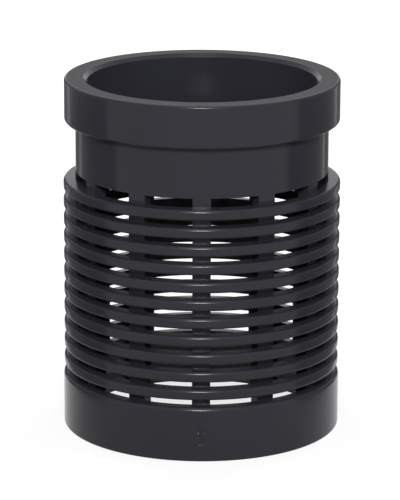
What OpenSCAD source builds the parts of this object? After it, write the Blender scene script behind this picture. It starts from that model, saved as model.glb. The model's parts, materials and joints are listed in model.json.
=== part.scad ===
// Foot valve with a slotted suction strainer, for a plastic pipe line.
// Millimetres. The origin is the centre of the base, +Z runs up the flow axis.
// The strainer is one moulding: collar, neck, posts, rings and base band.
// The valve cartridge is held in the neck, between the pipe stop and a retaining ring.

/* [Collar and pipe socket] */
// Bore of the pipe socket and of the neck below it
socket_bore_d = 90; // [84:1:125]
// Depth of the pipe socket, from the rim down to the pipe stop
socket_depth = 21; // [18:0.5:40]
// Wall of the collar, from the bore outwards
collar_wall = 9; // [6:0.5:14]
// Height of the collar
collar_h = 16.85; // [8:0.05:30]
// Lead-in chamfer at the mouth of the socket
lead_in = 1.4; // [0.5:0.1:3]
// Radius on the collar's outer edges
collar_edge_r = 0.8; // [0.3:0.1:2.5]
// Wall of the neck, which is also how deep the posts are
neck_wall = 4.65; // [3.5:0.05:8]
// Height of the ledge that stops the pipe
ledge_h = 2.2; // [1.6:0.1:5]
// How far the ledge stands in from the bore
ledge_w = 3.5; // [2:0.1:6]

/* [Strainer cage] */
// Number of level rings round the cage
ring_count = 11; // [3:1:24]
// Height from one ring to the next
ring_pitch = 7.09; // [5:0.01:12]
// Height of one ring at its outer edge
ring_h = 4.2; // [2.2:0.1:4.6]
// Height of one ring where it meets the posts, larger by the mould's draft
ring_root_h = 4.6; // [2.2:0.1:4.9]
// How far the rings stand out from the neck
ring_reach = 4.75; // [3:0.05:9]
// Radius on the rings' outer edges
ring_edge_r = 0.9; // [0.3:0.1:1]
// Number of upright posts inside the rings
post_count = 12; // [6:2:18]
// Width of one post
post_w = 7.05; // [4:0.05:12]
// Height of the base band
base_h = 21.6; // [8:0.1:40]
// How far the base band stands out from the neck
base_reach = 5; // [3:0.05:9]
// Radius on the base band's outer edges
base_edge_r = 1; // [0.3:0.1:3]
// Height of the open slot between the top ring and the neck
top_slot_h = 3.45; // [2:0.05:10]
// Length of the flow arrow sunk in the base band
arrow_len = 8; // [6:0.5:18]
// Depth of the flow arrow
arrow_depth = 0.45; // [0.2:0.05:1]

/* [Valve seat] */
// Height of the seat ring's flange where it meets the bore
seat_flange_h = 5.2; // [4.6:0.1:9]
// Width of the seat ring's flange, from the bore inwards
seat_flange_w = 6.4; // [5.3:0.1:9]
// Wall of the seat ring's cup below the flange
seat_cup_wall = 2.7; // [1.6:0.1:3.4]
// Thickness of the seat ring round the seat bore
seat_lip_h = 4.4; // [2.5:0.1:8]
// Width of the raised land that the seal closes on
land_w = 2; // [1:0.1:4]
// Height of the raised land
land_h = 0.4; // [0.2:0.1:1]
// Cord thickness of the seat ring's outer O-ring
seat_cord_d = 2.2; // [1.6:0.1:2.6]
// Thickness of the retaining ring
retainer_h = 1.6; // [1:0.1:3]
// Depth of the retaining ring's groove in the neck
groove_depth = 1.5; // [0.8:0.1:2.2]
// Height of the neck's shoulder below that groove
groove_shoulder = 2.4; // [1.5:0.1:8]

/* [Shutter] */
// How far the shutter lifts off its seat
lift = 7.5; // [4:0.5:10]
// Thickness of the shutter's seal
seal_h = 2.2; // [1.4:0.1:4]
// Thickness of the plate that clamps the seal
plate_h = 1.8; // [1.7:0.1:4]
// Width of the cone's shoulder under the seal
shoulder_w = 2.4; // [1.5:0.1:5]
// Thickness of the cone's floor under the spring
cone_floor_h = 2.2; // [1.5:0.1:3]
// Number of screws in the clamp plate
screw_count = 6; // [3:1:8]
// Length of one clamp screw, head included
screw_len = 7; // [5:0.5:8]

/* [Guide and spring] */
// Diameter of the stem where it slides in the bush
stem_d = 8; // [6:0.5:12]
// Length of the guide bush
bush_len = 9.6; // [7:0.1:14]
// Wall of the guide bush
bush_wall = 2; // [1.2:0.1:4]
// Wall of the spider's hub round the bush
hub_wall = 3.4; // [2:0.1:6]
// Height of the spider's outer ring
spider_ring_h = 4.2; // [3:0.1:8]
// Width of the spider's outer ring
spider_ring_w = 4.35; // [4:0.05:6]
// Thickness of the spider's arms and centre disc
spider_h = 3.8; // [3:0.1:6]
// Number of arms on the spider
arm_count = 4; // [3:1:6]
// Width of one arm
arm_w = 6; // [3:0.5:10]
// Wire thickness of the return spring
wire_d = 1.2; // [0.8:0.1:1.6]
// Number of turns of the return spring, with its closed ends
spring_turns = 5; // [4:0.5:5.5]
// Diameter of the screw thread at the stem's lower end
thread_d = 5; // [4:0.5:6]

/* [Fits] */
// Radial running clearance between stem and bush
run_gap = 0.05; // [0.02:0.01:0.1]
// Radial clearance of the seat ring and the spider in the neck
slip_gap = 0.15; // [0.05:0.05:0.3]
// Radial clearance between parts that are screwed or pushed together
push_gap = 0.05; // [0.02:0.01:0.1]
// Clearance left between the seal and its land when shut
shut_gap = 0.1; // [0.05:0.05:0.3]
// Clearance left at the lift stop when fully open
open_gap = 0.2; // [0.1:0.05:0.5]
// Clearance of a ring, clip or seal in the height of its groove
groove_gap = 0.05; // [0.02:0.01:0.1]

/* [Hidden] */
$fn = 96;
// How far a cut runs past the face that it cuts
over = 1;
// How far one shape of a solid is sunk into the next
root = 0.5;

// Radii of the moulding, from the bore outwards
bore_r = socket_bore_d / 2;
neck_r = bore_r + neck_wall;
collar_r = bore_r + collar_wall;
cage_r = neck_r + ring_reach;
base_r = neck_r + base_reach;
window_r = neck_r + 0.1;
rooted_r = neck_r - root;
ledge_r = bore_r - ledge_w;

// Heights, from the base upwards
neck_z = base_h + ring_count * ring_pitch + top_slot_h;
retainer_z = neck_z + groove_shoulder;
flange_z = retainer_z + retainer_h;
spider_z = flange_z + seat_flange_h;
ledge_z = spider_z + spider_ring_h;
stop_z = ledge_z + ledge_h;
top_z = stop_z + socket_depth;

// Guide: radii from the stem outwards
stem_r = stem_d / 2;
thread_r = thread_d / 2;
bush_r = stem_r + run_gap + bush_wall;
hub_r = bush_r + hub_wall;
clip_r = stem_r + 2.4;
recess_r = clip_r + 0.6;
bush_flange_r = recess_r - push_gap;
bush_flange_h = 1;
hub_bore_r = bush_r + push_gap;
clip_h = 0.7;
clip_neck_r = stem_r - 0.8;
clip_slot_w = clip_neck_r * 1.6;
recess_depth = 2;

// Spring and the pocket round it
wire_r = wire_d / 2;
spring_r = hub_r + 1.5 + wire_r;
cup_h = 0.8;
cup_lip_h = 1.2;
cup_lip_r = spring_r + wire_r + 0.8;
cup_r = cup_lip_r + 0.8;
pocket_r = cup_r + 0.4;
top_washer_h = 0.8;
top_washer_r = cup_lip_r;
top_washer_bore_r = hub_r + 0.2;

// Lift stop
bumper_in_r = pocket_r + 1.4;
bumper_out_r = bumper_in_r + 2.6;
bumper_set = 1.2;
bumper_proud = 0.4;
disc_r = bumper_out_r + 1.6;
// The arms stand up above the disc
disc_h = spider_h - 1.2;

// Shutter: radii from the pocket outwards
screw_r = 1.5;
screw_head_r = 2.8;
screw_head_h = 1.65;
screw_key_r = 1.15;
screw_key_h = 1.1;
screw_tip_gap = 0.3;
screw_hole_r = screw_r + push_gap;
screw_circle_r = pocket_r + 6.2;
boss_r = screw_circle_r + 3.6;
cone_r = boss_r + shoulder_w;
seat_bore_r = cone_r + 0.6;
land_in_r = seat_bore_r + 1;
land_out_r = land_in_r + land_w;
seal_r = land_out_r + 1;
plate_r = seal_r - 0.5;
plate_bore_r = pocket_r + 0.6;
arm_foot_r = seal_r + 2;

// Shutter: heights from the lift stop downwards, valve shut
spider_top_z = stop_z - 0.3;
spider_under_z = spider_top_z - spider_h;
bumper_z = spider_under_z - bumper_proud;
plate_top_z = bumper_z - open_gap - lift;
seal_top_z = plate_top_z - plate_h;
seal_z = seal_top_z - seal_h;
land_z = seal_z - shut_gap;
recess_z = spider_top_z - recess_depth - bush_flange_h;
bush_top_z = recess_z + bush_flange_h;
hub_z = bush_top_z - bush_len;
cone_boss_z = hub_z - 0.4 - lift;
pocket_z = cone_boss_z - 0.9 - cup_h;
cone_z = pocket_z - cone_floor_h;
nut_face_z = cone_boss_z - 2.4;
cone_rim_z = seal_z - 3.4;
cone_foot_r = pocket_r - 0.4;
cone_boss_r = hub_r - 1;
cup_bore_r = cone_boss_r + 0.3;

// Stem and its fastenings
stem_top_z = spider_top_z - 0.3;
clip_z = bush_top_z + 0.3;
washer_h = 0.8;
washer_r = thread_r * 2;
lock_h = 1.2;
lock_r = thread_r * 1.8;
nut_h = 2.4;
nut_flats = thread_d * 1.6;
stem_end_z = nut_face_z - washer_h - lock_h - nut_h - 0.1;
nut_recess_r = washer_r + 0.6;
thread_hole_r = thread_r + push_gap;
stem_cord_r = 0.65;
stem_cord_at_r = thread_hole_r + stem_cord_r;
stem_cord_play = 0.01;
stem_chamfer = 0.5;
thread_chamfer = 0.4;

// Seat ring and the spider's outer ring
flange_r = bore_r - slip_gap;
spider_in_r = flange_r - spider_ring_w;
arm_r = ledge_r - 0.3;
cup_in_r = bore_r - seat_flange_w;
cup_out_r = cup_in_r + seat_cup_wall;
seat_cord_play = 0.03;
seat_groove_r = bore_r - seat_cord_d - 2 * seat_cord_play;
seat_groove_h = seat_cord_d * 1.22;
seat_groove_z = flange_z + (seat_flange_h - seat_groove_h) / 2;
floor_z = land_z - land_h;
retainer_in_r = cup_out_r + 1.1;
retainer_gap_angle = 14;
retainer_play = 0.2;
seat_chamfer = 0.6;
cup_chamfer = 1.2;

// Spring length when the valve is shut
spring_z = pocket_z + cup_h;
spring_top_z = spider_under_z - top_washer_h;
spring_len = spring_top_z - spring_z;
spring_play = 0.05;
closed_pitch = wire_d * 1.04;
free_len = spring_len - wire_d - 2 * (spring_play + closed_pitch);

PVC = [0.19, 0.19, 0.215];
PVC_INNER = [0.30, 0.31, 0.33];
EPDM = [0.05, 0.05, 0.055];
STEEL = [0.72, 0.73, 0.74];
BUSH = [0.88, 0.87, 0.82];

// ---- Shared shapes ----

// A band of a turned profile whose two outer edges are rounded
module band(r_in, r_out, z_low, z_high, edge_r) {
    translate([r_in, z_low]) square([r_out - edge_r - r_in, z_high - z_low]);
    translate([r_in, z_low + edge_r]) square([r_out - r_in, z_high - z_low - 2 * edge_r]);
    for (z = [z_low + edge_r, z_high - edge_r])
        translate([r_out - edge_r, z]) circle(r = edge_r);
}

// One ring of the cage, drafted towards its rounded outer edge and centred on its own height
module ring_section() {
    flat_r = cage_r - ring_edge_r;
    polygon([[rooted_r, -ring_root_h / 2], [neck_r, -ring_root_h / 2], [flat_r, -ring_h / 2],
             [flat_r, ring_h / 2], [neck_r, ring_root_h / 2], [rooted_r, ring_root_h / 2]]);
    translate([flat_r - root, ring_edge_r - ring_h / 2])
        square([ring_edge_r + root, ring_h - 2 * ring_edge_r]);
    for (z = [-1, 1])
        translate([flat_r, z * (ring_h / 2 - ring_edge_r)]) circle(r = ring_edge_r);
}

// A plain turned ring
module turned_ring(r_in, r_out, z_low, h) {
    translate([0, 0, z_low]) difference() {
        cylinder(r = r_out, h = h);
        translate([0, 0, -over]) cylinder(r = r_in, h = h + 2 * over);
    }
}

// A round-section seal ring
module o_ring(at_r, cord_r, z) {
    translate([0, 0, z]) rotate_extrude() translate([at_r, 0]) circle(r = cord_r, $fn = 32);
}

module round_copies(count, at_r) {
    for (i = [0:count - 1]) rotate([0, 0, i * 360 / count]) translate([at_r, 0, 0]) children();
}

// ---- Strainer moulding ----

module cage_profile() {
    translate([bore_r, 0]) square([neck_wall, top_z - collar_edge_r]);
    translate([ledge_r, ledge_z]) square([ledge_w + root, ledge_h]);
    band(rooted_r, base_r, 0, base_h, base_edge_r);
    for (i = [0:ring_count - 1])
        translate([0, base_h + (i + 1) * ring_pitch - ring_h / 2]) ring_section();
    band(bore_r, collar_r, top_z - collar_h, top_z, collar_edge_r);
}

// The open bays between the posts, from the foot of the cage up to the neck
module bays() {
    difference() {
        translate([0, 0, -over]) cylinder(r = window_r, h = neck_z + over);
        for (i = [0:post_count / 2 - 1])
            rotate([0, 0, 90 + i * 360 / post_count])
                translate([-window_r - over, -post_w / 2, -2 * over])
                    cube([2 * (window_r + over), post_w, neck_z + 3 * over]);
    }
}

module retainer_groove() {
    turned_ring(bore_r - over, bore_r + groove_depth, retainer_z - groove_gap,
                retainer_h + 2 * groove_gap);
}

module flow_arrow() {
    head = arrow_len * 0.42;
    half = arrow_len * 0.3;
    shaft = arrow_len * 0.09;
    reach = neck_wall / 2;
    difference() {
        translate([0, reach - base_r, (base_h - arrow_len) / 2]) rotate([90, 0, 0])
            linear_extrude(height = reach + over)
                polygon([[-shaft, 0], [shaft, 0], [shaft, arrow_len - head], [half, arrow_len - head],
                         [0, arrow_len], [-half, arrow_len - head], [-shaft, arrow_len - head]]);
        cylinder(r = base_r - arrow_depth, h = base_h);
    }
}

module strainer_body() {
    color(PVC) difference() {
        rotate_extrude() cage_profile();
        bays();
        retainer_groove();
        translate([0, 0, top_z - lead_in])
            cylinder(r1 = bore_r, r2 = bore_r + lead_in + over, h = lead_in + over);
        flow_arrow();
    }
}

// ---- Seat ----

module seat_ring() {
    color(PVC_INNER) difference() {
        rotate_extrude() polygon([
            [seat_bore_r, floor_z - seat_lip_h], [seat_bore_r, floor_z - seat_chamfer],
            [seat_bore_r + seat_chamfer, floor_z], [land_in_r, floor_z], [land_in_r, land_z],
            [land_out_r, land_z], [land_out_r, floor_z], [cup_in_r - cup_chamfer, floor_z],
            [cup_in_r, floor_z + cup_chamfer], [cup_in_r, spider_z], [flange_r, spider_z],
            [flange_r, flange_z], [cup_out_r, flange_z], [cup_out_r, floor_z - seat_chamfer]]);
        turned_ring(seat_groove_r, bore_r + over, seat_groove_z, seat_groove_h);
    }
}

module seat_o_ring() {
    color(EPDM)
        o_ring(bore_r - seat_cord_d / 2 - seat_cord_play, seat_cord_d / 2,
               seat_groove_z + seat_groove_h / 2);
}

// Snap ring, open at its gap
module retaining_ring() {
    gap = 2 * bore_r * sin(retainer_gap_angle / 2);
    color(STEEL) difference() {
        turned_ring(retainer_in_r, bore_r + groove_depth - retainer_play, retainer_z, retainer_h);
        translate([0, -gap / 2, retainer_z - over])
            cube([bore_r + groove_depth + over, gap, retainer_h + 2 * over]);
    }
}

// ---- Guide ----

// One arm, up to the ledge's inner edge, with the foot that joins it to the outer ring
module spider_arm() {
    translate([hub_r - root, -arm_w / 2, spider_under_z])
        cube([arm_r - hub_r + root, arm_w, spider_h]);
    translate([arm_foot_r, -arm_w / 2, spider_z])
        cube([spider_in_r + root - arm_foot_r, arm_w, spider_under_z - spider_z + root]);
}

module guide_spider() {
    color(PVC_INNER) difference() {
        union() {
            turned_ring(spider_in_r, flange_r, spider_z, spider_ring_h);
            translate([0, 0, spider_under_z]) cylinder(r = disc_r, h = disc_h);
            translate([0, 0, hub_z]) cylinder(r = hub_r, h = spider_top_z - hub_z);
            for (i = [0:arm_count - 1]) rotate([0, 0, (i + 0.5) * 360 / arm_count]) spider_arm();
        }
        translate([0, 0, hub_z - over]) cylinder(r = hub_bore_r, h = spider_top_z - hub_z + 2 * over);
        translate([0, 0, recess_z]) cylinder(r = recess_r, h = recess_depth + bush_flange_h + over);
        turned_ring(bumper_in_r - push_gap, bumper_out_r + push_gap, spider_under_z - over,
                    bumper_set + over);
    }
}

module guide_bush() {
    color(BUSH) difference() {
        union() {
            translate([0, 0, hub_z]) cylinder(r = bush_r, h = bush_top_z - hub_z);
            translate([0, 0, recess_z]) cylinder(r = bush_flange_r, h = bush_flange_h);
        }
        translate([0, 0, hub_z - over]) cylinder(r = stem_r + run_gap, h = bush_len + 2 * over);
    }
}

module lift_stop_ring() {
    color(EPDM) turned_ring(bumper_in_r, bumper_out_r, bumper_z, bumper_set + bumper_proud);
}

// ---- Spring ----

module spring_washer() {
    color(STEEL) turned_ring(top_washer_bore_r, top_washer_r, spring_top_z, top_washer_h);
}

module spring_cup() {
    color(STEEL) difference() {
        translate([0, 0, pocket_z]) cylinder(r = cup_r, h = cup_h + cup_lip_h);
        translate([0, 0, pocket_z - over]) cylinder(r = cup_bore_r, h = cup_h + 2 * over);
        translate([0, 0, spring_z]) cylinder(r = cup_lip_r, h = cup_lip_h + over);
    }
}

// Height of the wire's centre, u running from 0 to 1 along the spring: one closed turn at each end
function wire_z(u) =
    let (turn = u * spring_turns)
    turn < 1 ? turn * closed_pitch
    : turn > spring_turns - 1 ? free_len + (turn - spring_turns + 2) * closed_pitch
    : closed_pitch + free_len * (turn - 1) / (spring_turns - 2);

module return_spring() {
    sides = 10;
    steps_per_turn = 28;
    steps = spring_turns * steps_per_turn;
    base = spring_z + wire_r + spring_play;
    points = [for (i = [0:steps]) let (u = i / steps, a = 360 * spring_turns * u)
              for (j = [0:sides - 1]) let (b = 360 * j / sides, r = spring_r + wire_r * cos(b))
              [r * cos(a), r * sin(a), base + wire_z(u) + wire_r * sin(b)]];
    skin = [for (i = [0:steps - 1], j = [0:sides - 1])
            let (k = (j + 1) % sides, a = i * sides, b = a + sides)
            for (f = [[a + j, a + k, b + k], [a + j, b + k, b + j]]) f];
    start = [[for (j = [sides - 1:-1:0]) j]];
    end = [[for (j = [0:sides - 1]) steps * sides + j]];
    color(STEEL) polyhedron(points, concat(skin, start, end), convexity = 10);
}

// ---- Shutter ----

module valve_cone() {
    color(PVC_INNER) difference() {
        rotate_extrude() polygon([
            [0, cone_z], [cone_foot_r, cone_z], [cone_r, cone_rim_z], [cone_r, seal_z],
            [boss_r, seal_z], [boss_r, seal_top_z], [0, seal_top_z]]);
        difference() {
            translate([0, 0, pocket_z]) cylinder(r = pocket_r, h = seal_top_z - pocket_z + over);
            translate([0, 0, pocket_z - over]) cylinder(r = cone_boss_r, h = cone_boss_z - pocket_z + over);
        }
        translate([0, 0, cone_z - over]) cylinder(r = thread_hole_r, h = cone_boss_z - cone_z + 2 * over);
        translate([0, 0, cone_z - over]) cylinder(r = nut_recess_r, h = nut_face_z - cone_z + over);
        translate([0, 0, cone_boss_z - 2 * stem_cord_r - groove_gap])
            cylinder(r = stem_cord_at_r + stem_cord_r + push_gap, h = 2 * stem_cord_r + over);
        round_copies(screw_count, screw_circle_r)
            translate([0, 0, plate_top_z - screw_len - screw_tip_gap])
                cylinder(r = screw_hole_r, h = screw_len, $fn = 32);
    }
}

module cone_seal() {
    color(EPDM) turned_ring(boss_r + push_gap, seal_r, seal_z, seal_h);
}

module clamp_plate() {
    color(STEEL) difference() {
        turned_ring(plate_bore_r, plate_r, seal_top_z, plate_h);
        round_copies(screw_count, screw_circle_r) {
            translate([0, 0, seal_top_z - over]) cylinder(r = screw_hole_r, h = plate_h + 2 * over, $fn = 32);
            translate([0, 0, plate_top_z - screw_head_h])
                cylinder(r1 = screw_hole_r, r2 = screw_head_r + push_gap, h = screw_head_h, $fn = 32);
        }
    }
}

module clamp_screws() {
    shank_h = screw_len - screw_head_h;
    color(STEEL) round_copies(screw_count, screw_circle_r) translate([0, 0, plate_top_z]) difference() {
        union() {
            translate([0, 0, -screw_len]) cylinder(r = screw_r, h = shank_h, $fn = 32);
            translate([0, 0, -screw_head_h])
                cylinder(r1 = screw_r, r2 = screw_head_r, h = screw_head_h, $fn = 32);
        }
        translate([0, 0, -screw_key_h]) cylinder(r = screw_key_r, h = screw_key_h + over, $fn = 6);
    }
}

// ---- Stem and its fastenings ----

module stem() {
    color(STEEL) rotate_extrude() polygon([
        [0, stem_end_z], [thread_r - thread_chamfer, stem_end_z],
        [thread_r, stem_end_z + thread_chamfer], [thread_r, cone_boss_z], [stem_r, cone_boss_z],
        [stem_r, clip_z - groove_gap], [clip_neck_r, clip_z - groove_gap],
        [clip_neck_r, clip_z + clip_h + groove_gap], [stem_r, clip_z + clip_h + groove_gap],
        [stem_r, stem_top_z - stem_chamfer], [stem_r - stem_chamfer, stem_top_z],
        [0, stem_top_z]]);
}

module stem_o_ring() {
    color(EPDM) o_ring(stem_cord_at_r, stem_cord_r - stem_cord_play,
                       cone_boss_z - stem_cord_r - stem_cord_play);
}

module stem_washer() {
    color(STEEL) turned_ring(thread_hole_r, washer_r, nut_face_z - washer_h, washer_h);
}

// Split spring washer, cut through on a slant
module lock_washer() {
    slit = [lock_r, 0.5, 3 * lock_h];
    slant = 35;
    z = nut_face_z - washer_h - lock_h;
    color(STEEL) difference() {
        turned_ring(thread_hole_r, lock_r, z, lock_h);
        translate([(thread_r + lock_r) / 2, 0, z + lock_h / 2]) rotate([slant, 0, 0])
            cube(slit, center = true);
    }
}

module stem_nut() {
    z = nut_face_z - washer_h - lock_h - nut_h;
    color(STEEL) difference() {
        translate([0, 0, z]) cylinder(d = nut_flats / cos(30), h = nut_h, $fn = 6);
        translate([0, 0, z - over]) cylinder(r = thread_hole_r, h = nut_h + 2 * over);
    }
}

// Open clip that snaps on the stem from the side
module stem_clip() {
    color(STEEL) difference() {
        turned_ring(clip_neck_r + push_gap, clip_r, clip_z, clip_h);
        translate([0, -clip_slot_w / 2, clip_z - over])
            cube([clip_r + over, clip_slot_w, clip_h + 2 * over]);
    }
}

strainer_body();
seat_ring();
seat_o_ring();
retaining_ring();
guide_spider();
guide_bush();
lift_stop_ring();
spring_washer();
return_spring();
spring_cup();
valve_cone();
cone_seal();
clamp_plate();
clamp_screws();
stem();
stem_o_ring();
stem_washer();
lock_washer();
stem_nut();
stem_clip();
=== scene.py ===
"""Finish, moulded strainer, spring and studio for a plastic foot valve with a ringed strainer cage."""

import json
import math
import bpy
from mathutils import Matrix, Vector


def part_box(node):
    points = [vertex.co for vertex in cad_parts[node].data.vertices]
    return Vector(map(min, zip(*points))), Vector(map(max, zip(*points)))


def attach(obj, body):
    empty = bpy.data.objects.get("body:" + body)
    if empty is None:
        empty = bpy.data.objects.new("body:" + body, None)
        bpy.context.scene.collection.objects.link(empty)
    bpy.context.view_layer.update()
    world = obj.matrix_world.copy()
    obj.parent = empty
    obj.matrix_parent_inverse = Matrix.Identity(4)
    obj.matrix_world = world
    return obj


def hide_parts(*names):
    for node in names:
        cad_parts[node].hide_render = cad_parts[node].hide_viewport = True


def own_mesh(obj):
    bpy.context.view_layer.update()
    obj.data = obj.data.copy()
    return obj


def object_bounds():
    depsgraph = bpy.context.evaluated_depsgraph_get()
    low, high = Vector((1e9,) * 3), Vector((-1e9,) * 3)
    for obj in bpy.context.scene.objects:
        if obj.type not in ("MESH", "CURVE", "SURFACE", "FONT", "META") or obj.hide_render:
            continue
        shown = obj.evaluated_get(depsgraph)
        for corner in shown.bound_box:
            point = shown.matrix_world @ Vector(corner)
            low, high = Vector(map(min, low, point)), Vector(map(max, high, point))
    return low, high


bl_info = {
    "name": "Foot Valve Finish",
    "version": (1, 1, 0),
    "blender": (4, 5, 0),
    "location": "View3D > Sidebar > Foot Valve",
    "description": "Models a foot valve's strainer and spring, finishes all its parts and sets a studio",
    "category": "Object",
}

import bmesh
import bpy
from bpy.props import FloatProperty, FloatVectorProperty, IntProperty, PointerProperty
from mathutils import Matrix, Vector

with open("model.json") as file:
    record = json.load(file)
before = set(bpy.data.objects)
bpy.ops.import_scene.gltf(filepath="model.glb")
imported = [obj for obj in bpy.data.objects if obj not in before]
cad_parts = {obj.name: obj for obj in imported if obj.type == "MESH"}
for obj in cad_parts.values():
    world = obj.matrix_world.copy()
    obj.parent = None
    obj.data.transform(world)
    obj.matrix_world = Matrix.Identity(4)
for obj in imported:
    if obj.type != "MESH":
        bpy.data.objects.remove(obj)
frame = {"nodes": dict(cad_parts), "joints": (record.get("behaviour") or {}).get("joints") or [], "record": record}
CAD_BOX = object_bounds()
MM = 0.001

# The valve's lowest and highest levels, and the outer radius of its base band
FOOT, TOP, OUTER = CAD_BOX[0][2], CAD_BOX[1][2], CAD_BOX[1][0]
# Angle of the front about the flow axis
FRONT = -math.pi / 2
# Steps in the rounding of an edge
ROUND_STEPS = 6
# Faces that meet at more than this angle keep a sharp edge between them
SHARP_ANGLE = math.radians(32)
# Half widths of the flow arrow's shaft and head, and the shaft's length, as shares of the arrow's length
ARROW_SHAFT, ARROW_HEAD, ARROW_NECK = 0.09, 0.30, 0.58
# Rise of one of the spring's closed turns, in wire diameters
CLOSED_RISE = 1.04
# Points along one turn of the spring, and sides of its wire
TURN_STEPS, WIRE_SIDES = 64, 16


# ---- Sizes and colours that a user may change ----


def colour_property(name, description, default):
    return FloatVectorProperty(
        name=name, description=description, default=default, subtype="COLOR", size=3, min=0, max=1
    )


def length_property(name, description, default):
    return FloatProperty(
        name=name, description=description, default=default, subtype="DISTANCE", unit="LENGTH"
    )


def angle_property(name, description, degrees):
    return FloatProperty(
        name=name, description=description, default=math.radians(degrees), subtype="ANGLE", unit="ROTATION"
    )


def power_property(name, description, default):
    return FloatProperty(
        name=name, description=description, default=default, subtype="POWER", unit="POWER", min=0
    )


class FootValveStrainer(bpy.types.PropertyGroup):
    """Sizes of the one moulding that makes the collar, neck, posts, rings and base band"""

    socket_depth: length_property("Socket depth", "From the rim down to the pipe stop", 21 * MM)
    lead_in: length_property("Lead-in", "Chamfer at the mouth of the socket", 1.4 * MM)
    ledge_height: length_property("Ledge height", "Height of the ledge that stops the pipe", 2.2 * MM)
    ledge_width: length_property("Ledge width", "How far the ledge stands in from the bore", 3.5 * MM)
    collar_height: length_property("Collar height", "Height of the collar", 16.85 * MM)
    collar_wall: length_property("Collar wall", "Wall of the collar, from the bore outwards", 9 * MM)
    collar_edge: length_property("Collar edge", "Radius on the collar's upper outer edge", 1.0 * MM)
    collar_under_edge: length_property("Collar under edge", "Radius on its lower outer edge", 1.4 * MM)
    neck_wall: length_property("Neck wall", "Wall of the neck and depth of the posts", 4.65 * MM)
    neck_root: length_property("Neck root", "Radius where the neck runs into the collar", 0.5 * MM)
    groove_depth: length_property("Groove depth", "Depth of the retaining ring's groove", 1.5 * MM)
    ring_count: IntProperty(name="Rings", description="Level rings round the cage", default=11, min=3)
    ring_pitch: length_property("Ring pitch", "Height from one ring to the next", 7.09 * MM)
    ring_height: length_property("Ring height", "Height of one ring at its outer edge", 4.2 * MM)
    ring_root: length_property("Ring root", "Height of one ring where it meets the posts", 4.6 * MM)
    ring_reach: length_property("Ring reach", "How far the rings stand out from the neck", 4.75 * MM)
    ring_edge: length_property("Ring edge", "Radius on the rings' outer edges", 1.2 * MM)
    window_gap: length_property("Window gap", "From the posts out to the rings' inner faces", 0.1 * MM)
    post_count: IntProperty(name="Posts", description="Number of upright posts", default=12, min=6)
    post_width: length_property("Post width", "Width of one post", 7.05 * MM)
    base_height: length_property("Base height", "Height of the base band", 21.6 * MM)
    base_edge: length_property("Base edge", "Radius on the base band's upper outer edge", 1.6 * MM)
    base_foot_edge: length_property("Base foot edge", "Radius on its lower outer edge", 0.8 * MM)
    top_slot: length_property("Top slot", "Height of the slot above the top ring", 3.45 * MM)
    arrow_length: length_property("Arrow length", "Length of the flow arrow in the base band", 8 * MM)
    arrow_depth: length_property("Arrow depth", "Depth of the flow arrow", 0.45 * MM)


class FootValveSpring(bpy.types.PropertyGroup):
    """Sizes of the return spring"""

    spring_turns: FloatProperty(
        name="Spring turns", description="Turns of the spring, closed ends included", default=5.0, min=4.0
    )
    wire: length_property("Spring wire", "Diameter of the spring's wire", 1.2 * MM)


class FootValveColours(bpy.types.PropertyGroup):
    """Colours of the finishes"""

    moulding: colour_property("Moulding", "Dark plastic of the strainer", (0.0168, 0.0171, 0.0222))
    turned: colour_property("Turned face", "Skimmed plastic of the rim", (0.0395, 0.0400, 0.0440))
    cartridge: colour_property("Cartridge", "Plastic of the seat, spider and cone", (0.075, 0.080, 0.090))
    rubber: colour_property("Rubber", "Seals and the lift stop", (0.010, 0.010, 0.011))
    steel: colour_property("Steel", "Turned and stamped steel", (0.55, 0.56, 0.57))
    bush: colour_property("Bush", "Guide bush", (0.76, 0.74, 0.66))


class FootValveStage(bpy.types.PropertyGroup):
    """The camera, the lights and the dark cards"""

    camera_distance: length_property("Camera distance", "From the camera to the point it looks at", 1.24459)
    camera_height: angle_property("Camera elevation", "Angle of the camera above the level", 15.117)
    camera_roll: angle_property("Camera roll", "Tilt of the camera about its own axis", -0.2155)
    lens: FloatProperty(name="Lens", description="Focal length in millimetres", default=226.54, min=20)
    key_height: angle_property("Key elevation", "Angle of the main light above the level", 28)
    key_side: angle_property("Key side", "Angle of the main light round from the front", -1)
    key_power: power_property("Key power", "Strength of the main light", 18.5)
    overhead_power: power_property("Overhead power", "Strength of the small light above", 1.5)
    canopy_power: power_property("Canopy power", "Strength of the broad soft light above", 1.5)
    left_fill_power: power_property("Left fill power", "Strength of the fill light on the left", 4.0)
    right_fill_power: power_property("Right fill power", "Strength of the fill light on the right", 6.0)
    rear_fill_power: power_property("Rear fill power", "Strength of each fill light behind the valve", 12.5)
    card_distance: length_property("Card distance", "From the flow axis out to the cards on each side", 0.1)
    card_gap: length_property("Card gap", "Width of the gap between the two cards of one side", 0.012)


# ---- Shader graph ----


class Shade:
    """One output socket, wrapped so that maths on it reads as a Python expression."""

    def __init__(self, graph, socket):
        self.graph = graph
        self.socket = socket

    def __add__(self, other):
        return self.graph.maths("ADD", self, other)

    def __radd__(self, other):
        return self.graph.maths("ADD", other, self)

    def __sub__(self, other):
        return self.graph.maths("SUBTRACT", self, other)

    def __rsub__(self, other):
        return self.graph.maths("SUBTRACT", other, self)

    def __mul__(self, other):
        return self.graph.maths("MULTIPLY", self, other)

    def __rmul__(self, other):
        return self.graph.maths("MULTIPLY", other, self)

    def __pow__(self, other):
        return self.graph.maths("POWER", self, other)

    def __rpow__(self, other):
        return self.graph.maths("POWER", other, self)


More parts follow.
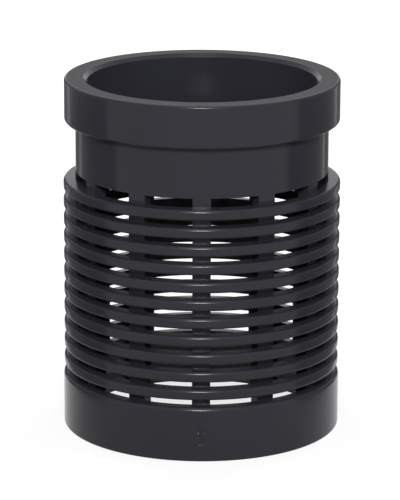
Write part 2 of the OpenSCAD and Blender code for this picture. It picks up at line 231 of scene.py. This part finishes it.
class Graph:
    """The node graph of one material or of the world."""

    def __init__(self, owner):
        owner.use_nodes = True
        self.tree = owner.node_tree
        self.tree.nodes.clear()

    def node(self, kind, settings=None, sockets=None, output=0):
        """Adds a node with its settings, then the values or links of its sockets."""
        made = self.tree.nodes.new(kind)
        for key, value in (settings or {}).items():
            setattr(made, key, value)
        for key, value in (sockets or {}).items():
            if isinstance(value, Shade):
                self.tree.links.new(value.socket, made.inputs[key])
            else:
                made.inputs[key].default_value = value
        return Shade(self, made.outputs[output]) if made.outputs else made

    def other(self, shade, output):
        """Another output of the node that an output belongs to."""
        return Shade(self, shade.socket.node.outputs[output])

    def maths(self, operation, first, second):
        return self.node("ShaderNodeMath", {"operation": operation}, {0: first, 1: second})

    def place(self):
        return self.node("ShaderNodeTexCoord", output="Object")

    def noise(self, place, scale, detail=2.0):
        return self.node("ShaderNodeTexNoise", None, {"Vector": place, "Scale": scale, "Detail": detail})

    def lines(self, along, scale, detail=2.0):
        """Uneven lines across a number that grows over the surface."""
        return self.node(
            "ShaderNodeTexNoise", {"noise_dimensions": "1D"}, {"W": along, "Scale": scale, "Detail": detail}
        )

    def remap(self, value, low, high, to_low=0.0, to_high=1.0):
        return self.node(
            "ShaderNodeMapRange", {"clamp": True}, {0: value, 1: low, 2: high, 3: to_low, 4: to_high}
        )

    def blend(self, factor, first, second):
        return self.node(
            "ShaderNodeMix", {"data_type": "RGBA"}, {0: factor, 6: first, 7: second}, output=2
        )

    def radius_and_height(self, place):
        """Distance from the flow axis, and height above the base."""
        across = self.node("ShaderNodeSeparateXYZ", None, {0: place})
        along, height = self.other(across, 1), self.other(across, 2)
        return (across * across + along * along) ** 0.5, height

    def rounded(self, width):
        """The surface's normal with every edge rounded over."""
        return self.node("ShaderNodeBevel", {"samples": 6}, {"Radius": width})

    def edges(self, rounded):
        """1 on sharp edges and 0 on open faces, from how far the rounding turns the normal."""
        plain = self.node("ShaderNodeNewGeometry", output="Normal")
        along = self.node(
            "ShaderNodeVectorMath", {"operation": "DOT_PRODUCT"}, {0: rounded, 1: plain}, output=1
        )
        open_face, sharp = 0.995, 0.90
        return self.remap(along, open_face, sharp)

    def level_faces(self):
        """1 on faces that lie level and look up, and 0 on the rest."""
        normal = self.node("ShaderNodeNewGeometry", output="Normal")
        across = self.node("ShaderNodeSeparateXYZ", None, {0: normal})
        tilted, level = 0.97, 0.995
        return self.remap(self.other(across, 2), tilted, level)

    def seen(self):
        """1 for rays from the camera, in reflections and through clear parts, and 0 for the rest."""
        camera = self.node("ShaderNodeLightPath", output="Is Camera Ray")
        glossy, clear = self.other(camera, "Is Glossy Ray"), self.other(camera, "Is Transmission Ray")
        return self.maths("MAXIMUM", camera, self.maths("MAXIMUM", glossy, clear))

    def bump(self, height, distance, strength, normal=None):
        sockets = {"Height": height, "Distance": distance, "Strength": strength}
        if normal is not None:
            sockets["Normal"] = normal
        return self.node("ShaderNodeBump", None, sockets)

    def matt(self, shade):
        """A plain matt surface of one grey."""
        return self.node("ShaderNodeBsdfDiffuse", None, {"Color": (shade, shade, shade, 1)})

    def finish(self, colour, roughness, normal, metallic=0.0, specular=0.5):
        sockets = {"Base Color": colour, "Roughness": roughness, "Normal": normal}
        sockets.update({"Metallic": metallic, "Specular IOR Level": specular})
        self.show(self.node("ShaderNodeBsdfPrincipled", None, sockets))

    def show(self, surface):
        self.node("ShaderNodeOutputMaterial", None, {"Surface": surface})


def rgba(colour, gain=1.0):
    return tuple(min(channel * gain, 1.0) for channel in colour) + (1.0,)


def material(name):
    made = bpy.data.materials.new(name)
    return made, Graph(made)


# ---- Finishes ----


def moulded_plastic(name, colour, gloss, specular, edge_width):
    """Injection-moulded PVC-U: faint orange peel, cloudy colour, lines on level faces, rubbed edges."""
    made, graph = material(name)
    place = graph.place()
    radius, height = graph.radius_and_height(place)
    rounded = graph.rounded(edge_width)
    cloud = graph.remap(graph.noise(place, scale=26.0, detail=3.0), 0.3, 0.7)
    grain = graph.noise(place, scale=1100.0)
    peel = graph.noise(place, scale=300.0)
    turned = graph.lines(radius, scale=2600.0, detail=3.0) * graph.level_faces()
    worn = graph.remap(graph.noise(place, scale=110.0, detail=4.0), 0.46, 0.74)
    rubbed = graph.edges(rounded) * worn
    scuffs = graph.remap(graph.lines(height + radius * 0.15, scale=900.0, detail=4.0), 0.66, 0.8) * worn
    tone = graph.blend(cloud, rgba(colour, 0.93), rgba(colour, 1.07))
    tone = graph.blend(rubbed * 0.30 + scuffs * 0.08, tone, rgba(colour, 2.2))
    roughness = gloss + cloud * 0.05 + grain * 0.03 + turned * 0.12 + rubbed * 0.08 + scuffs * 0.06
    relief = peel * 0.6 + grain * 0.25 + turned * 0.35
    bumped = graph.bump(relief, distance=0.03 * MM, strength=0.4, normal=rounded)
    graph.finish(tone, roughness, bumped, specular=specular)
    return made


def turned_plastic(name, colour):
    """A moulding's end face, skimmed on a lathe: matt, with fine rings and faint chatter across them."""
    made, graph = material(name)
    place = graph.place()
    radius, _ = graph.radius_and_height(place)
    rings = graph.lines(radius, scale=3200.0, detail=3.0)
    chatter = graph.remap(graph.noise(place, scale=420.0, detail=3.0), 0.35, 0.65)
    tone = graph.blend(rings * 0.5 + chatter * 0.3, rgba(colour, 0.9), rgba(colour, 1.3))
    roughness = 0.34 + rings * 0.16 + chatter * 0.06
    bumped = graph.bump(rings + chatter * 0.2, distance=0.02 * MM, strength=0.5)
    graph.finish(tone, roughness, bumped, specular=0.03)
    return made


def rubber(name, colour):
    """Moulded rubber: matt, finely grained, with a trace of pale bloom."""
    made, graph = material(name)
    place = graph.place()
    rounded = graph.rounded(0.25 * MM)
    grain = graph.noise(place, scale=1400.0, detail=3.0)
    bloom = graph.remap(graph.noise(place, scale=120.0, detail=4.0), 0.5, 0.75)
    tone = graph.blend(bloom * 0.25 + graph.edges(rounded) * 0.15, rgba(colour), rgba(colour, 3.0))
    roughness = graph.remap(grain, 0.3, 0.7, 0.58, 0.75)
    graph.finish(tone, roughness, graph.bump(grain, distance=0.03 * MM, strength=0.5, normal=rounded))
    return made


def turned_steel(name, colour):
    """Stainless steel turned or stamped round the flow axis: fine lines and dull handling marks."""
    made, graph = material(name)
    place = graph.place()
    radius, height = graph.radius_and_height(place)
    rounded = graph.rounded(0.15 * MM)
    lines = graph.lines(radius + height * 0.7, scale=5200.0, detail=3.0)
    smudge = graph.remap(graph.noise(place, scale=150.0, detail=4.0), 0.35, 0.7)
    tone = graph.blend(smudge, rgba(colour), rgba(colour, 0.80))
    tone = graph.blend(graph.edges(rounded) * 0.4, tone, rgba(colour, 1.3))
    roughness = graph.remap(lines, 0.3, 0.7, 0.22, 0.34) + smudge * 0.10
    bumped = graph.bump(lines, distance=0.01 * MM, strength=0.5, normal=rounded)
    graph.finish(tone, roughness, bumped, metallic=1.0)
    return made


def acetal(name, colour):
    """Natural acetal: milky, satin, with faint machining rings."""
    made, graph = material(name)
    place = graph.place()
    radius, height = graph.radius_and_height(place)
    rounded = graph.rounded(0.2 * MM)
    cloud = graph.remap(graph.noise(place, scale=200.0, detail=3.0), 0.3, 0.7)
    rings = graph.lines(radius + height, scale=3000.0)
    tone = graph.blend(cloud, rgba(colour), rgba(colour, 0.92))
    roughness = 0.32 + cloud * 0.08 + rings * 0.06
    graph.finish(tone, roughness, graph.bump(rings, distance=0.02 * MM, strength=0.3, normal=rounded))
    return made


# ---- Shapes ----


def add_object(name, data):
    made = bpy.data.objects.new(name, data)
    bpy.context.collection.objects.link(made)
    return made


def rounding(centre_r, centre_z, radius, start, end):
    """Points of an edge's rounding, between two angles in degrees."""
    turns = (math.radians(start + (end - start) * step / ROUND_STEPS) for step in range(ROUND_STEPS + 1))
    return [(centre_r + radius * math.cos(turn), centre_z + radius * math.sin(turn)) for turn in turns]


def mesh_from(shape, name):
    """Turns a finished shape into a mesh whose faces all look outwards."""
    bmesh.ops.recalc_face_normals(shape, faces=shape.faces)
    mesh = bpy.data.meshes.new(name)
    shape.to_mesh(mesh)
    shape.free()
    return mesh


def piece_from(shape, name, finish):
    """Turns a finished shape into an object whose flat faces stay flat beside its roundings."""
    mesh = mesh_from(shape, name)
    mesh.materials.append(finish)
    mesh.shade_smooth()
    mesh.set_sharp_from_angle(angle=SHARP_ANGLE)
    made = add_object(name, mesh)
    weights = made.modifiers.new("flat faces", "WEIGHTED_NORMAL")
    weights.keep_sharp = True
    return made


def stand_for(piece, body, node):
    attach(piece, body)
    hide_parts(node)


class CageSkin:
    """The strainer's skin, in strips between neighbouring columns round the flow axis.

    A post has columns of its own, spaced across its width, so that its flanks are flat and parallel.
    The columns of a bay share the angle that is left before the next post.
    """

    # Columns across one post, and across one bay between two posts
    post_steps = 6
    bay_steps = 14

    def __init__(self, posts, post_width):
        self.shape = bmesh.new()
        self.posts = posts
        self.half = post_width / 2
        self.per_post = self.post_steps + self.bay_steps
        self.corners = {}

    def angle(self, column, radius):
        post, step = divmod(column, self.per_post)
        pitch = 2 * math.pi / self.posts
        if step <= self.post_steps:
            turn = math.asin((2 * step / self.post_steps - 1) * self.half / radius)
        else:
            edge = math.asin(self.half / radius)
            turn = edge + (pitch - 2 * edge) * (step - self.post_steps) / self.bay_steps
        return FRONT + post * pitch + turn

    def corner(self, column, point):
        """The skin's vertex where a column meets a point of an outline."""
        column %= self.posts * self.per_post
        radius, height = point
        key = column, round(radius, 8), round(height, 8)
        if key not in self.corners:
            turn = self.angle(column, radius)
            place = radius * math.cos(turn), radius * math.sin(turn), height
            self.corners[key] = self.shape.verts.new(place)
        return self.corners[key]

    def strip(self, points, on_posts=True, on_bays=True):
        """Sweeps an outline round the flow axis, over the posts, the bays or both."""
        for column in range(self.posts * self.per_post):
            at_post = column % self.per_post < self.post_steps
            if on_posts if at_post else on_bays:
                for near, far in zip(points, points[1:]):
                    ends = (column, near), (column + 1, near), (column + 1, far), (column, far)
                    self.shape.faces.new([self.corner(*end) for end in ends])

    def flanks(self, outline):
        """Closes both sides of every post with its outline."""
        for post in range(self.posts):
            for step in (0, self.post_steps):
                self.shape.faces.new([self.corner(post * self.per_post + step, point) for point in outline])


def socket_radius():
    """Radius of the pipe socket, which is also the bore of the neck and the cage."""
    mounts = frame["record"]["mounts"]
    return next(mount["dims"]["r_mm"] for mount in mounts if mount["name"] == "pipe_socket") * MM


class StrainerShape:
    """Outlines of the strainer, as points of radius and height, and the skin made from them."""

    def __init__(self, sizes):
        self.sizes = sizes
        self.bore = socket_radius()
        self.neck = self.bore + sizes.neck_wall
        self.window = self.neck + sizes.window_gap
        self.rings_top = sizes.base_height + sizes.ring_count * sizes.ring_pitch
        self.neck_foot = self.rings_top + sizes.top_slot
        self.skin = CageSkin(sizes.post_count, sizes.post_width)

    def build(self, finish):
        """The whole strainer as one closed skin, from the collar down."""
        sizes = self.sizes
        self.upper_body()
        flank = [(self.bore, 0), (self.bore, self.neck_foot), (self.neck, self.neck_foot)]
        above = (self.neck, self.neck_foot)
        for index in reversed(range(sizes.ring_count)):
            root = self.ring(sizes.base_height + (index + 1) * sizes.ring_pitch - sizes.ring_height / 2)
            self.skin.strip([above, root[0]], on_bays=False)
            flank += root
            above = root[-1]
        foot = (self.neck, sizes.base_height)
        self.skin.strip([above, foot], on_bays=False)
        flank += [foot] + self.base_band(foot)
        self.skin.strip([(self.bore, 0), (self.bore, self.neck_foot)], on_bays=False)
        self.skin.flanks(flank)
        return piece_from(self.skin.shape, "strainer_moulding", finish)

    def upper_body(self):
        """The collar, the socket with its ledge, the retaining ring's groove and the neck."""
        sizes = self.sizes
        outer, under = self.bore + sizes.collar_wall, TOP - sizes.collar_height
        edge, low_edge, root = sizes.collar_edge, sizes.collar_under_edge, sizes.neck_root
        stop = TOP - sizes.socket_depth
        groove_foot, groove_top = (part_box("retaining_ring")[end][2] for end in (0, 1))
        ledge, groove = self.bore - sizes.ledge_width, self.bore + sizes.groove_depth
        outline = [(self.neck, self.neck_foot)]
        outline += rounding(self.neck + root, under - root, root, 180, 90)
        outline += rounding(outer - low_edge, under + low_edge, low_edge, -90, 0)
        outline += rounding(outer - edge, TOP - edge, edge, 0, 90)
        outline += [(self.bore + sizes.lead_in, TOP), (self.bore, TOP - sizes.lead_in), (self.bore, stop)]
        outline += [(ledge, stop), (ledge, stop - sizes.ledge_height)]
        outline += [(self.bore, stop - sizes.ledge_height), (self.bore, groove_top)]
        outline += [(groove, groove_top), (groove, groove_foot), (self.bore, groove_foot)]
        outline += [(self.bore, self.neck_foot)]
        self.skin.strip(outline)
        self.skin.strip([outline[-1], outline[0]], on_posts=False)

    def ring(self, height):
        """One ring; returns its root on a post, from the top down."""
        sizes = self.sizes
        edge, half, root = sizes.ring_edge, sizes.ring_height / 2, sizes.ring_root / 2
        flat = self.neck + sizes.ring_reach - edge
        draft = (root - half) / (flat - self.neck)
        inner = root - draft * (self.window - self.neck)
        outline = [(self.window, height + inner)]
        outline += rounding(flat, height + half - edge, edge, 90, 0)
        outline += rounding(flat, height - half + edge, edge, 0, -90)
        outline += [(self.window, height - inner)]
        roots = [(self.neck, height + root), outline[0], outline[-1], (self.neck, height - root)]
        self.skin.strip(outline)
        self.skin.strip([outline[-1], outline[0]], on_posts=False)
        self.skin.strip(roots[:2], on_bays=False)
        self.skin.strip(roots[2:], on_bays=False)
        return roots

    def base_band(self, foot):
        """The base band; returns the rest of the posts' outline below the lowest slot."""
        height = self.sizes.base_height
        edge, foot_edge = self.sizes.base_edge, self.sizes.base_foot_edge
        outline = [(self.window, height)]
        outline += rounding(OUTER - edge, height - edge, edge, 90, 0)
        outline += rounding(OUTER - foot_edge, foot_edge, foot_edge, 0, -90)
        outline += [(self.window, 0)]
        self.skin.strip(outline)
        self.skin.strip([outline[-1], outline[0]], on_posts=False)
        self.skin.strip([foot, outline[0]], on_bays=False)
        self.skin.strip([outline[-1], (self.bore, 0)], on_bays=False)
        return [outline[0], outline[-1]]


def arrow_cutter(sizes):
    """A plain arrow that points along the flow, standing in the front wall of the base band."""
    length = sizes.arrow_length
    low = (sizes.base_height - length) / 2
    shaft, head, neck = ARROW_SHAFT * length, ARROW_HEAD * length, ARROW_NECK * length
    floor = OUTER - sizes.arrow_depth
    outline = [(-shaft, 0), (0, 0), (shaft, 0), (shaft, neck)]
    outline += [(head, neck), (0, length), (-head, neck), (-shaft, neck)]
    shape = bmesh.new()
    deep = [shape.verts.new((x, -math.sqrt(floor**2 - x**2), low + z)) for x, z in outline]
    proud = [shape.verts.new((x, -OUTER - MM, low + z)) for x, z in outline]
    shape.faces.new(proud)
    # The arrow's curved floor: both halves of the shaft up to the tip, then both barbs
    for part in ((0, 1, 5, 7), (1, 2, 3, 5), (3, 4, 5), (5, 6, 7)):
        shape.faces.new([deep[index] for index in part])
    for index in range(len(outline)):
        after = (index + 1) % len(outline)
        shape.faces.new((deep[index], deep[after], proud[after], proud[index]))
    return add_object("arrow_cutter", mesh_from(shape, "arrow_cutter"))


def sink_arrow(piece, sizes):
    """Cuts the flow arrow into the base band, and keeps what is left as the piece's own mesh."""
    cutter = arrow_cutter(sizes)
    cut = piece.modifiers.new("arrow", "BOOLEAN")
    cut.operation, cut.solver, cut.object = "DIFFERENCE", "EXACT", cutter
    piece.modifiers.move(len(piece.modifiers) - 1, 0)
    view = bpy.context.evaluated_depsgraph_get()
    finished = bpy.data.meshes.new_from_object(piece.evaluated_get(view))
    piece.modifiers.clear()
    piece.data = finished
    bpy.data.objects.remove(cutter)


def joint(name):
    return next(found for found in frame["joints"] if found["name"] == name)


def coil_path(sizes, low, high):
    """The middle of the spring's wire, from the bottom up, with a closed turn at each end."""
    radius = (high[0] - low[0] - sizes.wire) / 2
    closed = sizes.wire * CLOSED_RISE
    bottom = low[2] + sizes.wire / 2
    free = high[2] - low[2] - sizes.wire - 2 * closed
    steps = int(sizes.spring_turns * TURN_STEPS)
    path = []
    for step in range(steps + 1):
        turn = sizes.spring_turns * step / steps
        inner = min(max(turn - 1, 0), sizes.spring_turns - 2)
        climb = min(turn, 1) * closed + max(turn - sizes.spring_turns + 1, 0) * closed
        height = bottom + climb + free * inner / (sizes.spring_turns - 2)
        angle = 2 * math.pi * turn
        path.append(Vector((radius * math.cos(angle), radius * math.sin(angle), height)))
    return path


def wire_shape(path, radius):
    """A closed tube of wire along a list of points, capped flat at both ends."""
    shape = bmesh.new()
    rings = []
    for index, point in enumerate(path):
        ahead = path[min(index + 1, len(path) - 1)] - path[max(index - 1, 0)]
        ahead.normalize()
        outward = Vector((point.x, point.y, 0)).normalized()
        up = ahead.cross(outward).normalized()
        outward = up.cross(ahead)
        rings.append([
            shape.verts.new(point + radius * (math.cos(turn) * outward + math.sin(turn) * up))
            for turn in (2 * math.pi * side / WIRE_SIDES for side in range(WIRE_SIDES))
        ])
    for ring, following in zip(rings, rings[1:]):
        for side in range(WIRE_SIDES):
            after = (side + 1) % WIRE_SIDES
            shape.faces.new((ring[side], ring[after], following[after], following[side]))
    shape.faces.new(reversed(rings[0]))
    shape.faces.new(rings[-1])
    return shape


# ---- Pieces ----


def dress(nodes, finish):
    """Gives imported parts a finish, in place of the plain one they arrive with."""
    for name in nodes:
        for holder in frame["nodes"][name].material_slots:
            holder.material = finish


class MouldStrainer(bpy.types.Operator):
    """Mould the collar, neck, posts, rings and base band as one skin, with the arrow sunk in it"""

    bl_idname = "foot_valve.mould_strainer"
    bl_label = "Strainer Moulding"

    def execute(self, context):
        sizes = context.scene.foot_valve_strainer
        colours = context.scene.foot_valve_colours
        skin = moulded_plastic("dark_pvc", colours.moulding, gloss=0.15, specular=0.16, edge_width=0.15 * MM)
        piece = StrainerShape(sizes).build(skin)
        sink_arrow(piece, sizes)
        piece.data.materials.append(turned_plastic("turned_pvc", colours.turned))
        just_below_rim = TOP - 0.01 * MM
        for face in piece.data.polygons:
            if face.center.z > just_below_rim:
                face.material_index = 1
        stand_for(piece, "housing", "strainer_body")
        return {"FINISHED"}


class DressCartridge(bpy.types.Operator):
    """Finish the plastic parts of the valve cartridge"""

    bl_idname = "foot_valve.dress_cartridge"
    bl_label = "Cartridge Plastics"

    def execute(self, context):
        colours = context.scene.foot_valve_colours
        grey = moulded_plastic("inner_pvc", colours.cartridge, gloss=0.30, specular=0.3, edge_width=0.3 * MM)
        dress(["seat_ring", "guide_spider", "valve_cone"], grey)
        dress(["guide_bush"], acetal("natural_acetal", colours.bush))
        return {"FINISHED"}


class DressSeals(bpy.types.Operator):
    """Finish the seals and the rubber lift stop"""

    bl_idname = "foot_valve.dress_seals"
    bl_label = "Rubber Seals"

    def execute(self, context):
        black = rubber("black_rubber", context.scene.foot_valve_colours.rubber)
        dress(["seat_o_ring", "lift_stop_ring", "cone_seal", "stem_o_ring"], black)
        return {"FINISHED"}


class DressSteel(bpy.types.Operator):
    """Finish the stem, plate, rings and fastenings"""

    bl_idname = "foot_valve.dress_steel"
    bl_label = "Steel Parts"

    def execute(self, context):
        bright = turned_steel("stainless_steel", context.scene.foot_valve_colours.steel)
        dress(
            ["retaining_ring", "spring_washer", "spring_cup", "clamp_plate", "clamp_screws", "stem",
             "stem_washer", "lock_washer", "stem_nut", "stem_clip"],
            bright,
        )
        return {"FINISHED"}


class WindSpring(bpy.types.Operator):
    """Wind the return spring with a closed turn at each end"""

    bl_idname = "foot_valve.wind_spring"
    bl_label = "Return Spring"

    def execute(self, context):
        sizes = context.scene.foot_valve_spring
        low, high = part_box("return_spring")
        wire = wire_shape(coil_path(sizes, low, high), sizes.wire / 2)
        steel = turned_steel("spring_steel", context.scene.foot_valve_colours.steel)
        spring = piece_from(wire, "return_spring_coil", steel)
        stand_for(spring, "housing", "return_spring")
        left = 1 - joint("shutter_lift")["range_m"][1] / (high[2] - low[2])
        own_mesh(spring)
        return {"FINISHED"}


# ---- Stage ----


def round_from_front(side, height, distance, level):
    """A place by its angles round from the front and above a level, and its distance from the axis there."""
    flat = math.cos(height) * distance
    return Vector((math.sin(side) * flat, -math.cos(side) * flat, level + math.sin(height) * distance))


def soft_light(name, place, aim, size, power, mirrored=True):
    """A soft light that the camera doesn't see, and that shines in reflections only where asked."""
    data = bpy.data.lights.new(name, "AREA")
    data.shape = "RECTANGLE"
    data.size, data.size_y = size
    data.energy = power
    lamp = add_object(name, data)
    lamp.location = place
    lamp.rotation_euler = (aim - place).to_track_quat("-Z", "Y").to_euler()
    lamp.visible_camera = False
    lamp.visible_glossy = mirrored


def flat_sheet(name, corners, finish):
    """A flat sheet with four corners, for the floor or a card."""
    mesh = bpy.data.meshes.new(name)
    mesh.from_pydata(corners, [], [(0, 1, 2, 3)])
    mesh.materials.append(finish)
    return add_object(name, mesh)


class SetStage(bpy.types.Operator):
    """Set the floor, the lights, the world and the camera"""

    bl_idname = "foot_valve.set_stage"
    bl_label = "Studio"

    def execute(self, context):
        stage = context.scene.foot_valve_stage
        self.floor()
        self.lights(stage)
        self.cards(stage)
        self.world(context.scene)
        self.camera(context.scene, stage)
        context.scene.view_settings.view_transform = "Standard"
        return {"FINISHED"}

    def floor(self):
        """Lays a floor that glows white where it is seen, less so round the valve's foot, where the weaker glow is
        a painted shade.
        """
        made, graph = material("pale_floor")
        radius, _ = graph.radius_and_height(graph.place())
        # Glow is 0.8 within the first distance from the flow axis and full beyond the second: a painted shade
        # round the valve's foot, against which the floor's lit shadow shows
        beside, clear = 0.05, 0.30
        glow_with_painted_shade = graph.seen() * graph.remap(radius, beside, clear, 0.80, 1.0)
        plain = graph.matt(0.15)
        light = graph.node("ShaderNodeEmission", None, {"Strength": glow_with_painted_shade})
        graph.show(graph.node("ShaderNodeAddShader", None, {0: plain, 1: light}))
        reach, level = 8.0, FOOT - 0.1 * MM
        sides = (-reach, -reach), (reach, -reach), (reach, reach), (-reach, reach)
        floor = flat_sheet("floor", [(x, y, level) for x, y in sides], made)

    def lights(self, stage):
        """Aims each light at the valve's middle, from angles round from the front and above the level."""
        middle = Vector((0, 0, (FOOT + TOP) / 2))
        degrees = math.radians
        # Name, angle round from the front, angle above the level, distance, size and power
        shown = (
            ("key", stage.key_side, stage.key_height, 1.3, (0.28, 0.24), stage.key_power),
            ("overhead", 0, degrees(72), 1.0, (0.34, 0.30), stage.overhead_power),
            ("canopy", degrees(180), degrees(82), 1.1, (1.5, 1.0), stage.canopy_power),
        )
        for name, side, height, distance, size, power in shown:
            soft_light(name, round_from_front(side, height, distance, middle.z), middle, size, power)
        fill_distance, fill_size = 1.2, (0.6, 0.5)
        # Name, both angles in degrees, and power
        fills = (
            ("left_fill", -80, 20, stage.left_fill_power),
            ("right_fill", 80, 20, stage.right_fill_power),
            ("rear_left_fill", -145, 12, stage.rear_fill_power),
            ("rear_right_fill", 145, 12, stage.rear_fill_power),
        )
        for name, side, height, power in fills:
            place = round_from_front(degrees(side), degrees(height), fill_distance, middle.z)
            soft_light(name, place, middle, fill_size, power, mirrored=False)

    def cards(self, stage):
        """Stands dark cards beside the valve, seen only in its reflections, in place of the pale room."""
        # Their height as a share of the valve's, and how far behind the flow axis their gap and ends lie
        rise, gap, front_end, rear_end = 1.7, 0.062, -0.045, 0.24
        front_shade, rear_shade = 0.45, 0.18
        head = TOP * rise
        front = front_end, gap - stage.card_gap / 2, front_shade
        rear = gap + stage.card_gap / 2, rear_end, rear_shade
        for near, far, shade in (front, rear):
            made, graph = material("card")
            graph.show(graph.matt(shade))
            for x in (-stage.card_distance, stage.card_distance):
                corners = [(x, near, FOOT), (x, far, FOOT), (x, far, head), (x, near, head)]
                card = flat_sheet("card", corners, made)
                card.visible_camera = card.visible_diffuse = False
                card.visible_shadow = card.visible_transmission = False

    def world(self, scene):
        """A white room where it is seen, which lights the valve only a little."""
        scene.world = bpy.data.worlds.new("studio")
        graph = Graph(scene.world)
        ambient = 0.10
        strength = graph.seen() * (1 - ambient) + ambient
        surface = graph.node("ShaderNodeBackground", None, {"Color": (1, 1, 1, 1), "Strength": strength})
        graph.node("ShaderNodeOutputWorld", None, {"Surface": surface})

    def camera(self, scene, stage):
        """Looks from the front at a point close to the valve's middle."""
        full_frame, farthest = 36, 100
        data = bpy.data.cameras.new("camera")
        data.lens = stage.lens
        data.sensor_width = full_frame
        data.clip_end = farthest
        camera = add_object("camera", data)
        aim = Vector((-0.636, 0, 69.685)) * MM
        place = round_from_front(0, stage.camera_height, stage.camera_distance, aim.z)
        look = (aim - place).to_track_quat("-Z", "Y").to_matrix().to_4x4()
        camera.matrix_world = Matrix.Translation(place) @ look @ Matrix.Rotation(-stage.camera_roll, 4, "Z")
        scene.camera = camera


# ---- Add-on ----

STEPS = (MouldStrainer, DressCartridge, DressSeals, DressSteel, WindSpring, SetStage)
SETTINGS = {
    "foot_valve_strainer": FootValveStrainer,
    "foot_valve_spring": FootValveSpring,
    "foot_valve_colours": FootValveColours,
    "foot_valve_stage": FootValveStage,
}


class FootValvePanel(bpy.types.Panel):
    """Lists the steps that finish the foot valve, with their sizes and colours"""

    bl_label = "Foot Valve"
    bl_idname = "VIEW3D_PT_foot_valve"
    bl_space_type = "VIEW_3D"
    bl_region_type = "UI"
    bl_category = "Foot Valve"

    def draw(self, context):
        for step in STEPS:
            self.layout.operator(step.bl_idname)
        for attribute in SETTINGS:
            group = getattr(context.scene, attribute)
            box = self.layout.box()
            for name in group.bl_rna.properties.keys():
                if name not in ("rna_type", "name"):
                    box.prop(group, name)


def register():
    for kind in (*SETTINGS.values(), *STEPS, FootValvePanel):
        bpy.utils.register_class(kind)
    for attribute, kind in SETTINGS.items():
        setattr(bpy.types.Scene, attribute, PointerProperty(type=kind))


def unregister():
    for attribute in SETTINGS:
        delattr(bpy.types.Scene, attribute)
    for kind in reversed((*SETTINGS.values(), *STEPS, FootValvePanel)):
        bpy.utils.unregister_class(kind)


def main():
    register()
    for step in STEPS:
        group, name = step.bl_idname.split(".")
        getattr(getattr(bpy.ops, group), name)()


if __name__ == "__main__":
    main()
